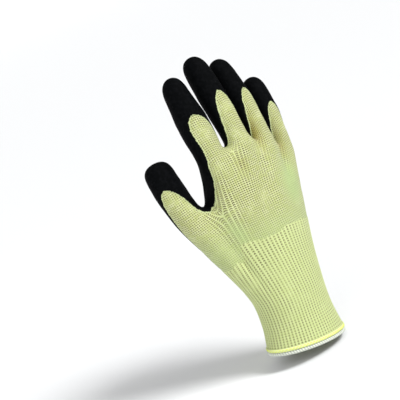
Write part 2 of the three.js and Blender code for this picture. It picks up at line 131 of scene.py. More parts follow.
@dataclass(frozen=True)
class Digit:
    """A finger or the thumb, with lengths in millimetres and angles in degrees.

    The bare tongue on its back takes a share of its reach, and base is the fullness of the
    part below the tongue's end. Roll turns the back towards the thumb, and splay and curl
    are given at the root, the middle and the tip. The thumb's web ends at a station.
    """

    origin: Vector
    reach: float
    width: float
    depth: float
    base: float
    tongue: float
    roll: float
    splay: tuple[float, float, float]
    curl: tuple[float, float, float]
    stations: Table
    web_end: float = 0.0
    web_column: int = 6
    steps: int = 24

    @staticmethod
    def bend(angles: tuple[float, float, float], share: float) -> float:
        """Finds an angle along the digit.

        Args:
            angles: The angles at the root, the middle and the tip, in degrees.
            share: The place along the digit, 0 at the root and 1 at the tip.

        Returns:
            The angle there, in radians.
        """
        start, half, end = (math.radians(angle) for angle in angles)
        if share < 0.5:
            return mix(start, half, 2 * share)
        return mix(half, end, 2 * share - 1)

    def axes(self, share: float) -> tuple[Vector, Vector, Vector]:
        """Finds the digit's own directions at a share of its length.

        Args:
            share: The place along the digit.

        Returns:
            Unit vectors across the digit, out of its face and along it.
        """
        splay, curl = self.bend(self.splay, share), self.bend(self.curl, share)
        level = math.cos(curl)
        along = Vector((math.sin(splay) * level, math.sin(curl), math.cos(splay) * level))
        face = (Vector((0, 1, 0)) - along * along.y).normalized()
        return face.cross(along), face, along

    def centre(self, share: float) -> Vector:
        """Walks along the centre line in short steps.

        Args:
            share: The place along the digit.

        Returns:
            The point of the centre line there.
        """
        point = self.origin.copy()
        stride = share * self.reach / self.steps
        for step in range(self.steps):
            point += self.axes(share * (step + 0.5) / self.steps)[2] * stride
        return point

    def ring(self, share: float, width: float) -> Points:
        """Works out the columns round the digit.

        Args:
            share: The place along the digit.
            width: The ring's share of the digit's width.

        Returns:
            Sixteen points. Column 2 is the middle of the back and column 10 of the face.
        """
        centre = self.centre(share)
        across, face, _ = self.axes(share)
        turn = math.radians(self.roll) * min(share / self.tongue, 1)
        girth = width * self.base if share <= self.tongue else width
        points = []
        for column in range(LOOP):
            angle = 1.25 * math.pi + column * 2 * math.pi / LOOP - turn
            point = centre + across * (math.cos(angle) * self.width * girth / 2)
            points.append(point + face * (math.sin(angle) * self.depth * girth / 2))
        return points

    def station_ring(self, place: float, width: float, root: Points) -> Points:
        """Works out a station's ring, the thumb's inner side led straight from the web.

        Args:
            place: The station's share of the tongue.
            width: The ring's share of the digit's width.
            root: The columns of the digit's root.

        Returns:
            The sixteen points.
        """
        points = self.ring(place * self.tongue, width)
        if place >= self.web_end:
            return points
        end = self.ring(self.web_end * self.tongue, 1)
        led = []
        for column, point in enumerate(points):
            hold = min(max(2 - abs(column - self.web_column) / 2, 0), 1)
            led.append(point.lerp(root[column].lerp(end[column], place / self.web_end), hold))
        return led


def ring_between(
    before: Points, start: Points, end: Points, after: Points, share: float
) -> Points:
    """Finds a ring between two rings, on smooth lines that run on towards two more.

    Args:
        before: The ring before the first.
        start: The first ring.
        end: The second ring.
        after: The ring after the second.
        share: The place between the first and the second.

    Returns:
        The points of the new ring.
    """
    points = []
    for past, first, second, future in zip(before, start, end, after):
        span = (second - first).length
        lead = (second - past).normalized() * span
        trail = (future - first).normalized() * span
        points.append(
            first * (2 * share**3 - 3 * share**2 + 1)
            + lead * (share**3 - 2 * share**2 + share)
            + second * (3 * share**2 - 2 * share**3)
            + trail * (share**3 - share**2)
        )
    return points


@dataclass
class GloveForm:
    """The form of the worn glove, with the driving sizes of the part in millimetres."""

    cuff_length: float = 88
    cuff_width: float = 64
    cuff_depth: float = 46
    palm_width: float = 78
    palm_depth: float = 37
    thumb_root_height: float = 39
    finger_root_height: float = 76
    finger_length: float = 84
    finger_width: float = 18.6
    finger_depth: float = 19.2
    thumb_length: float = 73
    thumb_width: float = 22.8
    thumb_depth: float = 21
    cuff_top_share: float = 0.62
    web_rise: float = 4
    thumb_web_rise: float = 9
    thumb_web_reach: float = 1
    thumb_web_lean: float = 4
    web_corner_rise: float = 4
    web_corner_reach: float = 2
    heel_fullness: float = 0.07
    oval_power: float = 2.3
    oval_corner: float = 0.84
    sections: tuple[WristSection, ...] = (
        WristSection(0.0, 1.07, 1.02, 0.13),
        WristSection(0.26, 0.96, 0.97, 0.04),
        WristSection(0.54, 1.0, 1.0, 0.0),
    )

    def __post_init__(self) -> None:
        """Works out the digits and the rings where they part from the palm."""
        self.heel_height = self.cuff_length + self.thumb_root_height
        span = self.cuff_length / self.heel_height
        self.wrist_ends = [section.height * span for section in self.sections]
        self.wrist_top = mix(self.wrist_ends[-1], 1, self.cuff_top_share)
        self.thumb = self.make_thumb()
        self.fingers = self.make_fingers()
        self.wrist_rings = [self.wrist_ring(section) for section in self.sections]
        self.thumb_ring, self.thumb_web = self.thumb_split()
        self.root_ring, self.finger_webs = self.finger_split()
        self.after_split = self.ring_after_split()

    def root(self, x: float, y: float, height: float) -> Vector:
        """Returns a digit's root from shares of the palm and a height above the cuff."""
        return Vector((x * self.palm_width, y * self.palm_depth, self.cuff_length + height))

    def make_fingers(self) -> list[Digit]:
        """Returns the fingers from the index to the little finger."""
        # Root x, y and height, length, width, base, tongue, roll, splay and curl.
        rows = (
            (-0.30, -0.11, 1.0, 0.835, 1.0, 1.22, 0.54, 22, (-6, -4, 4), (4, 11, 16)),
            (0.006, -0.27, 1.02, 0.925, 1.04, 1.0, 0.57, 0, (-2, -1, 1), (10, 18, 22)),
            (0.285, -0.21, 0.94, 0.89, 0.98, 1.0, 0.58, -14, (2, 2, 0), (12, 22, 30)),
            (0.527, -0.05, 0.76, 0.755, 0.95, 0.95, 0.59, -6, (9, 7, 2), (10, 20, 28)),
        )
        return [
            Digit(
                self.root(x, y, height * self.finger_root_height),
                length * self.finger_length,
                width * self.finger_width,
                width * self.finger_depth,
                *rest,
                FINGER_STATIONS,
            )
            for x, y, height, length, width, *rest in rows
        ]

    def make_thumb(self) -> Digit:
        """Returns the thumb."""
        return Digit(
            self.root(-0.555, 0.20, 0.52 * self.thumb_root_height),
            self.thumb_length,
            self.thumb_width,
            self.thumb_depth,
            1.0,
            0.71,
            0,
            (-30, -10, 2),
            (6, 12, 16),
            THUMB_STATIONS,
            THUMB_STATIONS[1][0],
        )

    def wrist_ring(self, section: WristSection) -> Points:
        """Spreads the columns of the wrist evenly round an ellipse.

        Args:
            section: The cross-section.

        Returns:
            The points of its ring.
        """
        points = []
        for column in range(WRIST_COLUMNS):
            angle = (column - COAT_FROM) * 2 * math.pi / WRIST_COLUMNS
            x = math.cos(angle) * section.width * self.cuff_width / 2
            y = math.sin(angle) * section.depth * self.cuff_depth / 2
            points.append(Vector((x, y, section.height * self.cuff_length - section.slant * x)))
        return points

    def palm_angle(self, column: int) -> tuple[float, float]:
        """Finds a column's direction round the palm's oval, the same on both halves.

        Args:
            column: The column, from the back by the little finger's side to the face.

        Returns:
            The cosine and sine of its angle.
        """
        half, place = divmod(column, BACK + SIDE)
        sign = 1 - 2 * half
        if place <= BACK:
            cosine = mix(-self.oval_corner, self.oval_corner, place / BACK)
            return sign * cosine, -sign * math.sqrt(1 - cosine**2)
        angle = math.acos(self.oval_corner) * mix(-1, 1, (place - BACK) / SIDE)
        return sign * math.cos(angle), sign * math.sin(angle)

    def palm_oval(self) -> Points:
        """Returns the palm's columns: the back, the ulnar side, the face and the radial side."""
        centre_x, centre_y, arch, slant = 0.055, -0.10, 0.10, 0.3
        points = []
        for column in range(PALM_COLUMNS):
            x, y = (
                math.copysign(abs(part) ** (2 / self.oval_power), part)
                for part in self.palm_angle(column)
            )
            across = (x / 2 + centre_x) * self.palm_width
            out = (y / 2 + centre_y + arch * x**2) * self.palm_depth
            rise = self.thumb_root_height * (1 - slant * max(x, 0))
            points.append(Vector((across, out, self.cuff_length + rise)))
        return points

    def thumb_split(self) -> tuple[Points, Points]:
        """Finds where thumb and palm part.

        Returns:
            The ring round both, and the web between them from the back to the face.
        """
        oval = self.palm_oval()
        root = self.thumb.ring(0, 1)
        ring = oval[: FACE_END + 1]
        reach, rise = self.web_corner_reach, self.web_corner_rise
        out = self.heel_fullness * self.palm_depth
        ring[0] = middle(oval[0], root[SIDE]) + Vector((-reach, -out, rise))
        ring[FACE_END] = middle(oval[FACE_END], root[2 * SIDE]) + Vector((-reach, out, rise))
        ring += [root[(2 * SIDE + step) % LOOP] for step in range(1, 3 * SIDE)]
        web = []
        for step in range(1, SIDE):
            point = middle(oval[PALM_COLUMNS - step], root[SIDE + step])
            bow = math.sin(math.pi * step / SIDE)
            point.x -= reach + self.thumb_web_reach * bow
            point.y += self.thumb_web_lean * bow
            point.z = mix(ring[0].z, ring[FACE_END].z, step / SIDE) + self.thumb_web_rise * bow
            web.append(point)
        return ring, web

    def finger_split(self) -> tuple[Points, list[Points]]:
        """Finds where the fingers part.

        Returns:
            The ring round all the fingers' roots, and the webs between them.
        """
        roots = [finger.ring(0, 1) for finger in self.fingers]
        ring: list[Vector | None] = [None] * PALM_COLUMNS
        for index, root in enumerate(roots):
            for step in range(SIDE + 1):
                for place, point in (
                    (index * SIDE + step, root[step]),
                    (FACE_END - index * SIDE - step, root[3 * SIDE - step]),
                ):
                    ring[place] = middle(ring[place], point) if ring[place] else point
        for step in range(1, SIDE):
            ring[BACK + step] = roots[-1][SIDE + step]
            ring[FACE_END + step] = roots[0][3 * SIDE + step]
        webs = []
        for near, far in zip(roots, roots[1:]):
            web = []
            for step in range(1, SIDE):
                point = middle(near[SIDE + step], far[LOOP - step])
                point.z += self.web_rise * math.sin(math.pi * step / SIDE)
                web.append(point)
            webs.append(web)
        return ring, webs

    def ring_after_split(self) -> Points:
        """Returns the ring that follows the thumb's split, on the palm and on the thumb."""
        share = self.thumb.web_end * self.thumb.tongue
        follow = self.thumb.ring(share, 1)
        return [
            self.root_ring[column]
            if column <= FACE_END
            else follow[(2 * SIDE + column - FACE_END) % LOOP]
            for column in range(WRIST_COLUMNS)
        ]

    def heel_ring(self, share: float) -> Points:
        """Finds a ring of the wrist.

        Args:
            share: Its height, from the mouth at 0 to the thumb's split at 1.

        Returns:
            The points of the ring.
        """
        rings = [self.wrist_rings[0], *self.wrist_rings, self.thumb_ring, self.after_split]
        ends = [*self.wrist_ends, 1]
        index = 0
        while index + 2 < len(ends) and share > ends[index + 1]:
            index += 1
        place = (share - ends[index]) / (ends[index + 1] - ends[index])
        return ring_between(*rings[index : index + 4], place)


class Zone(Enum):
    """The part of the hand that a face of the shell belongs to."""

    CUFF = 0
    HEEL = 1
    PALM = 2
    THUMB = 3
    INDEX = 4
    FINGER = 5


@dataclass(frozen=True)
class Tongue:
    """The bare patch on a digit's back: tables of its middle and half width in columns."""

    centre: Table
    half: Table
    softness: float = 0.55
    rounding: float = 0.45

    def depth(self, column: float, place: float) -> float:
        """Returns how many columns a spot lies outside the tongue, below nought inside."""
        shift = column - from_table(self.centre, place)
        across = abs((shift + LOOP / 2) % LOOP - LOOP / 2)
        rounded = across + self.rounding * math.exp(-across / self.softness)
        return rounded - from_table(self.half, place)


TONGUE_END = ((0.84, 1.45), (0.93, 1.0), (1.0, 0.4), (1.5, -6.0))
FINGER_TONGUE = Tongue(
    ((0.0, 2.0), (0.09, 2.2), (0.30, 2.35), (0.57, 2.3), (1.0, 2.1)),
    ((0.0, 4.0), (0.09, 3.8), (0.30, 3.1), (0.57, 2.35), (0.72, 1.9), *TONGUE_END),
)
INDEX_TONGUE = Tongue(
    ((0.0, 2.5), (0.15, 2.7), (0.30, 2.8), (0.57, 2.6), (0.84, 2.3), (1.0, 2.2)),
    ((0.0, 2.9), (0.15, 2.6), (0.30, 2.4), (0.57, 2.1), (0.72, 1.85), *TONGUE_END),
)
THUMB_TONGUE = Tongue(
    ((0.0, 1.2), (0.12, 0.95), (0.24, 0.75), (0.48, 0.55), (0.68, 0.35), (1.0, 0.0)),
    (
        *((0.0, 3.95), (0.12, 3.6), (0.24, 3.2), (0.48, 2.65), (0.68, 2.15)),
        *((0.80, 1.8), (0.90, 1.3), (0.96, 0.9), (1.0, 0.4), (1.5, -6.0)),
    ),
)


@dataclass
class CoatOutline:
    """The edge of the coating, as a distance from it in millimetres at each spot."""

    top: float
    edge_drop: float = 30
    side_drop_share: float = 0.42
    fullness: float = 0.8
    finger_column: float = 3.6
    thumb_column: float = 4.2
    palm_column: float = 4.9
    palm_margin: Table = ((0, 0.5), (0.33, 0.45), (0.66, 0.25), (1, 0.4))
    web: tuple[float, float, float] = (-37.1, 7.7, 132.7)
    web_strip: float = 8.0
    web_blend: float = 1.6
    web_reach: float = 4.0
    wrist_column: float = 3.7
    wave: float = 0.45
    wave_length: float = 3.4
    nick: float = 0.30
    nick_length: float = 1.7

    @staticmethod
    def outside(column: float, centre: float, half: float, count: int) -> float:
        """Returns how many columns a spot lies outside a span round a loop of columns."""
        across = abs((column - centre + count / 2) % count - count / 2)
        return across - half

    def inside(self, zone: Zone, height: float, column: float, place: float) -> float:
        """Measures how far a spot lies inside the coating.

        Args:
            zone: The part of the hand.
            height: Its height in millimetres.
            column: The column round the hand or the digit.
            place: The share of the tongue on a digit, or of the palm's height.

        Returns:
            Millimetres from the edge, above nought in the coating.
        """
        if zone is Zone.FINGER:
            return FINGER_TONGUE.depth(column, place) * self.finger_column
        if zone in (Zone.INDEX, Zone.THUMB):
            tongue = INDEX_TONGUE if zone is Zone.INDEX else THUMB_TONGUE
            return tongue.depth(column, place) * self.thumb_column
        if zone is Zone.PALM:
            bare = (COAT_FROM + from_table(self.palm_margin, place)) / 2
            across = self.outside(column, COAT_FROM - bare, bare, PALM_COLUMNS)
            return across * self.palm_column
        bare = (COAT_FROM + WRIST_COLUMNS - COAT_TO) / 2
        side = self.outside(column, COAT_FROM - bare, bare, WRIST_COLUMNS) * self.wrist_column
        across = min(max((column - COAT_FROM) / (COAT_TO - COAT_FROM), 0.0), 1.0)
        bow = max(math.sin(math.pi * across), 0.0) ** self.fullness
        low = self.edge_drop * mix(self.side_drop_share, 1, bow) - self.top + height
        return (side + low - math.hypot(side - low, self.wrist_column)) / 2

    def round_web(self, distance: float, point: Vector) -> float:
        """Leads the coating in one curve round the thumb's web.

        Args:
            distance: How far a spot lies inside the coating.
            point: The spot, in metres.

        Returns:
            The distance there with the curve.
        """
        near = self.web_strip - (point / MM - Vector(self.web)).length
        if near <= -self.web_reach:
            return distance
        gap = math.hypot(distance - near, self.web_blend)
        return (distance + near + gap - self.web_blend) / 2

    def ragged(self, distance: float, point: Vector) -> float:
        """Returns the distance with the wavy, nicked edge that the dipping leaves."""
        wave = self.wave * noise.noise(point / (self.wave_length * MM))
        return distance + wave + self.nick * noise.noise(point / (self.nick_length * MM))


def ring_edges(bm: Any, ring: list[Any]) -> list[Any]:
    """Returns the edges of a closed ring of points."""
    return [bm.edges.get(pair) for pair in zip(ring, ring[1:] + ring[:1])]


def extrude_ring(bm: Any, ring: list[Any]) -> list[Any]:
    """Extrudes a closed ring of points.

    Args:
        bm: The shape.
        ring: The points in order.

    Returns:
        The new points in the same order.
    """
    made = bmesh.ops.extrude_edge_only(bm, edges=ring_edges(bm, ring))["geom"]
    fresh = {item for item in made if isinstance(item, bmesh.types.BMVert)}
    return [next(e.other_vert(v) for e in v.link_edges if e.other_vert(v) in fresh) for v in ring]


def face_outwards(bm: Any, away: Vector) -> None:
    """Turns all faces of a shape outwards.

    Args:
        bm: The shape.
        away: A direction in which the farthest face has to look.
    """
    bmesh.ops.recalc_face_normals(bm, faces=bm.faces[:])
    last = max(bm.faces, key=lambda face: face.calc_center_median().dot(away))
    if last.normal.dot(away) < 0:
        bmesh.ops.reverse_faces(bm, faces=bm.faces[:])


def finished(bm: Any, name: str) -> bpy.types.Mesh:
    """Turns a shape into a named mesh with smooth shading, and frees the shape."""
    mesh = bpy.data.meshes.new(name)
    bm.to_mesh(mesh)
    bm.free()
    mesh.polygons.foreach_set("use_smooth", [True] * len(mesh.polygons))
    return mesh


@dataclass
class HandShell:
    """The cage of the hand, from the coating's lower edge to the fingertips.

    Its columns follow the wales of the knit, and two maps are kept on its faces: the
    knit's wales and courses, and the place in each zone.
    """

    form: GloveForm
    skirt_drops: tuple[float, ...] = (36, 27, 18, 9, 0)
    palm_rings: tuple[float, ...] = (0.33, 0.66)
    waist: float = 3.8
    levels: int = 2
    courses: dict[Any, float] = field(default_factory=dict)

    def __post_init__(self) -> None:
        """Starts the cage and its layers."""
        self.bm = bmesh.new()
        self.knit = self.bm.loops.layers.uv.new("knit")
        self.spot = self.bm.loops.layers.uv.new("spot")
        self.zone = self.bm.faces.layers.int.new("zone")

    def mark(self, face: Any, zone: Zone, corners: dict[Any, tuple[float, float, float]]) -> None:
        """Writes a face's zone and maps.

        Args:
            face: The face.
            zone: Its part of the hand.
            corners: For each corner the wale's column, the zone's column and the place.
        """
        face[self.zone] = zone.value
        for loop in face.loops:
            wale, column, place = corners[loop.vert]
            loop[self.knit].uv = (wale, self.courses[loop.vert])
            loop[self.spot].uv = (column, place)

    def grow(
        self,
        ring: list[Any],
        points: Points,
        zone: Zone,
        places: tuple[float, float],
        first_wale: int = 0,
    ) -> list[Any]:
        """Extrudes a closed ring to the next ring.

        Args:
            ring: The columns to start from.
            points: Where the new columns lie.
            zone: The part of the hand.
            places: The place of the old and the new ring in the zone.
            first_wale: The wale at column 0.

        Returns:
            The new columns.
        """
        upper = extrude_ring(self.bm, ring)
        for low, high, point in zip(ring, upper, points):
            high.co = point * MM
            self.courses[high] = self.courses[low] + (high.co - low.co).length / MM
        for k, edge in enumerate(ring_edges(self.bm, upper)):
            corners = {}
            for row, place in zip((ring, upper), places):
                for column in (k, k + 1):
                    corners[row[column % len(ring)]] = (first_wale + column, column, place)
            self.mark(edge.link_faces[0], zone, corners)
        return upper

    def close(self, ring: list[Any], tip: Vector, zone: Zone, place: float) -> None:
        """Closes a digit's last ring with a fan round its tip.

        Args:
            ring: The columns of the ring.
            tip: The tip's point.
            zone: The part of the hand.
            place: The tip's place in the zone.
        """
        cap = bmesh.ops.contextual_create(self.bm, geom=ring_edges(self.bm, ring))["faces"]
        made = bmesh.ops.poke(self.bm, faces=cap)
        vert = made["verts"][0]
        vert.co = tip * MM
        self.courses[vert] = self.courses[ring[0]]
        for face in made["faces"]:
            columns = {corner: ring.index(corner) for corner in face.verts if corner is not vert}
            if set(columns.values()) == {0, LOOP - 1}:
                columns[ring[0]] = LOOP
            columns[vert] = max(columns.values()) - 0.5
            self.mark(face, zone, {c: (column, column, place) for c, column in columns.items()})

    def add_digit(self, digit: Digit, ring: list[Any], zone: Zone, first_wale: int) -> None:
        """Grows a digit from its root ring to its closed tip.

        Args:
            digit: The finger or thumb.
            ring: The sixteen columns of its root.
            zone: The part of the hand.
            first_wale: The wale at its column 0.
        """
        place = 0.0
        root = [vert.co / MM for vert in ring]
        tip = [(mix(digit.tongue, 1, end) / digit.tongue, width) for end, width in TIP_STATIONS]
        for new_place, width in (*digit.stations, *tip):
            points = digit.station_ring(new_place, width, root)
            ring = self.grow(ring, points, zone, (place, new_place), first_wale)
            place = new_place
        self.close(ring, digit.centre(1), zone, 1 / digit.tongue)

    def add_web(self, points: Points, near: Any, far: Any) -> list[Any]:
        """Adds the web between two columns.

        Args:
            points: Its points, from the near column to the far one.
            near: The column that it starts from.
            far: The column that it ends at.

        Returns:
            The web's own points in the same order.
        """
        web = [self.bm.verts.new(point * MM) for point in points]
        for vert in web:
            self.courses[vert] = (self.courses[near] + self.courses[far]) / 2
        chain = [near, *web, far]
        for pair in zip(chain, chain[1:]):
            if self.bm.edges.get(pair) is None:
                self.bm.edges.new(pair)
        return web

    def add_heel(self) -> list[Any]:
        """Grows the wrist and the heel of the hand, and returns the ring at the split."""
        form, drops = self.form, self.skirt_drops
        made = bmesh.ops.create_circle(
            self.bm, cap_ends=False, segments=WRIST_COLUMNS, radius=MM
        )
        ring = made["verts"]
        start = form.heel_ring(form.wrist_top - drops[0] / form.heel_height)
        for vert, point in zip(ring, start):
            vert.co = point * MM
            self.courses[vert] = 0.0
        for places in zip(drops, drops[1:]):
            points = form.heel_ring(form.wrist_top - places[1] / form.heel_height)
            ring = self.grow(ring, points, Zone.CUFF, places)
        ring = self.grow(ring, form.heel_ring(mix(form.wrist_top, 1, 0.5)), Zone.HEEL, (0, 0))
        return self.grow(ring, form.thumb_ring, Zone.HEEL, (0, 0))

    def add_palm(self, ring: list[Any]) -> list[Any]:
        """Grows the palm from its ring at the thumb's split, and returns the roots' ring."""
        form = self.form
        here = [vert.co / MM for vert in ring]
        down = Vector((0, 0, -form.thumb_root_height))
        before = [
            form.wrist_rings[-1][k] if k <= FACE_END else here[k] + down
            for k in range(PALM_COLUMNS)
        ]
        after = []
        for column, point in enumerate(form.root_ring):
            place = column if column <= BACK else FACE_END - column
            index = min(max(place // SIDE, 0), len(form.fingers) - 1)
            after.append(point + form.fingers[index].axes(0)[2] * form.finger_width)
        place = 0.0
        for share in self.palm_rings:
            points = ring_between(before, here, form.root_ring, after, share)
            for point in points[FACE_END + 1 :]:
                point.x += self.waist * math.sin(math.pi * share)
            ring = self.grow(ring, points, Zone.PALM, (place, share))
            place = share
        return self.grow(ring, form.root_ring, Zone.PALM, (place, 1))

    def build(self) -> None:
        """Grows the whole hand."""
        form = self.form
        split = self.add_heel()
        web = self.add_web(form.thumb_web, split[0], split[FACE_END])
        thumb_ring = [*split[FACE_END + 2 * SIDE :], split[0], *web]
        thumb_ring += split[FACE_END : FACE_END + 2 * SIDE]
        self.add_digit(form.thumb, thumb_ring, Zone.THUMB, FACE_END + 2 * SIDE)
        roots = self.add_palm([*split[: FACE_END + 1], *reversed(web)])
        webs = []
        for index, points in enumerate(form.finger_webs):
            near = roots[(index + 1) * SIDE]
            webs.append(self.add_web(points, near, roots[FACE_END - (index + 1) * SIDE]))
        for index, finger in enumerate(form.fingers):
            back = roots[index * SIDE : index * SIDE + SIDE + 1]
            start = FACE_END - (index + 1) * SIDE
            face = roots[start : start + SIDE + 1]
            last = index + 1 == len(form.fingers)
            far = roots[BACK + 1 : BACK + SIDE] if last else webs[index]
            near = list(reversed(webs[index - 1])) if index else roots[FACE_END + 1 :]
            zone = Zone.FINGER if index else Zone.INDEX
            self.add_digit(finger, [*back, *far, *face, *near], zone, index * SIDE)
        face_outwards(self.bm, Vector((0, -1, 0)))

    def refined(self) -> bpy.types.Mesh:
        """Returns the cage smoothed by subdivision, as a new mesh."""
        mesh = bpy.data.meshes.new("hand_cage")
        self.bm.to_mesh(mesh)
        cage = bpy.data.objects.new("hand_cage", mesh)
        bpy.context.scene.collection.objects.link(cage)
        smoothing = cage.modifiers.new("smoothing", "SUBSURF")
        smoothing.levels = smoothing.render_levels = self.levels
        depsgraph = bpy.context.evaluated_depsgraph_get()
        smooth = bpy.data.meshes.new_from_object(cage.evaluated_get(depsgraph))
        bpy.data.objects.remove(cage)
        bpy.data.meshes.remove(mesh)
        return smooth


@dataclass(frozen=True)
class Stroke:
    """A soft line on the cloth: two ends in millimetres, its strength and half width."""

    start: tuple[float, float, float]
    end: tuple[float, float, float]
    strength: float
    width: float
    blunt: float = 0.15

    def weight(self, point: Vector) -> float:
        """Returns the line's strength at a point in millimetres."""
        start, end = Vector(self.start), Vector(self.end)
        run = end - start
        along = min(max((point - start).dot(run) / run.length_squared, 0.0), 1.0)
        gap = (point - start - run * along).length
        taper = math.sin(math.pi * mix(self.blunt, 1 - self.blunt, along))
        return self.strength * taper * math.exp(-((gap / self.width) ** 2))


CREASES = (
    Stroke((13.5, -19, 158), (12.5, -24, 140), 1.5, 2.6),
    Stroke((32, -13, 148), (29, -18, 132), 1.7, 2.8),
    Stroke((-11, -12, 160), (-9, -18, 146), 1.2, 2.6),
)
# Painted shade: where the knit turns golden in the crotches between the fingers, for the shade and
# yellow bounce light there.
PAINTED_FOLD_SHADES = (
    Stroke((14, -13, 157), (16, -9, 184), 1.0, 5.0),
    Stroke((34, -12, 147), (37, -6, 170), 1.0, 5.0),
    Stroke((-9, -15, 158), (-8, -18, 152), 0.5, 3.5),
)
SMOOTH_PATCHES = (
    Stroke((31, -19, 140), (26, -22, 108), 1.3, 12),
    Stroke((-34, -8, 120), (-26, -16, 92), 0.9, 8),
)


@dataclass
class Drape:
    """How the knit lies: broad soft waves and a few folds, shared by every layer."""

    broad: float = 0.40
    broad_length: float = 17
    fine: float = 0.16
    fine_length: float = 6
    creases: tuple[Stroke, ...] = ()

    def lift(self, point: Vector) -> float:
        """Returns how far the cloth stands out at a point in metres, in millimetres."""
        wave = self.broad * noise.noise(point / (self.broad_length * MM))
        ripple = self.fine * noise.noise(point / (self.fine_length * MM))
        return wave + ripple - sum(crease.weight(point / MM) for crease in self.creases)


def linear(hex_colour: str) -> Colour:
    """Turns an sRGB hex colour into linear light.

    Args:
        hex_colour: Six hex digits, such as "d3e23a".

    Returns:
        Red, green, blue and an alpha of 1.
    """
    parts = []
    for start in (0, 2, 4):
        value = int(hex_colour[start : start + 2], 16) / 255
        low = value / 12.92
        parts.append(low if value <= 0.04045 else ((value + 0.055) / 1.055) ** 2.4)
    return (parts[0], parts[1], parts[2], 1.0)


def add_node(
    tree: bpy.types.NodeTree,
    kind: str,
    inputs: dict[Any, Any] | None = None,
    out: Any = 0,
    **settings: Any,
) -> bpy.types.NodeSocket:
    """Adds a shader node with its settings, values and links.

    Args:
        tree: The node tree.
        kind: The node's type, such as Math.
        inputs: Values or sockets for its inputs, by name or number.
        out: The output to return, by name or number.
        **settings: Properties of the node.

    Returns:
        The output's socket.
    """
    node = tree.nodes.new(f"ShaderNode{kind}")
    for name, value in settings.items():
        setattr(node, name, value)
    for name, value in (inputs or {}).items():
        if isinstance(value, bpy.types.NodeSocket):
            tree.links.new(value, node.inputs[name])
        else:
            node.inputs[name].default_value = value
    return node.outputs[out]


def new_material(name: str, roughness: float, gloss: float) -> tuple[bpy.types.Material, Any, Any]:
    """Starts a material.

    Args:
        name: The material's name.
        roughness: Its roughness.
        gloss: Its specular level.

    Returns:
        The material, a maker of its nodes and its shader's inputs.
    """
    material = bpy.data.materials.new(name)
    material.use_nodes = True
    shader = material.node_tree.nodes["Principled BSDF"]
    shader.inputs["Roughness"].default_value = roughness
    shader.inputs["Specular IOR Level"].default_value = gloss
    return material, partial(add_node, material.node_tree), shader.inputs


def paint(material: bpy.types.Material, ground: str, *layers: tuple[Any, str]) -> None:
    """Lays layers of colour over one another on a material.

    Args:
        material: The material.
        ground: The lowest layer, in sRGB hex.
        *layers: Each further layer's share and its sRGB hex, from the lowest up.
    """
    tree = material.node_tree
    colour = linear(ground)
    for share, tone in layers:
        inputs = {0: share, 6: colour, 7: linear(tone)}
        colour = add_node(tree, "Mix", inputs, 2, data_type="RGBA")
    tree.links.new(colour, tree.nodes["Principled BSDF"].inputs["Base Color"])


def emboss(material: bpy.types.Material, height: Any, depth_mm: float, strength: float) -> None:
    """Gives a material its fine relief.

    Args:
        material: The material.
        height: The socket of the relief's height, from 0 to 1.
        depth_mm: How deep the relief is.
        strength: Its strength.
    """
    tree = material.node_tree
    inputs = {"Height": height, "Distance": depth_mm * MM, "Strength": strength}
    tree.links.new(add_node(tree, "Bump", inputs), tree.nodes["Principled BSDF"].inputs["Normal"])


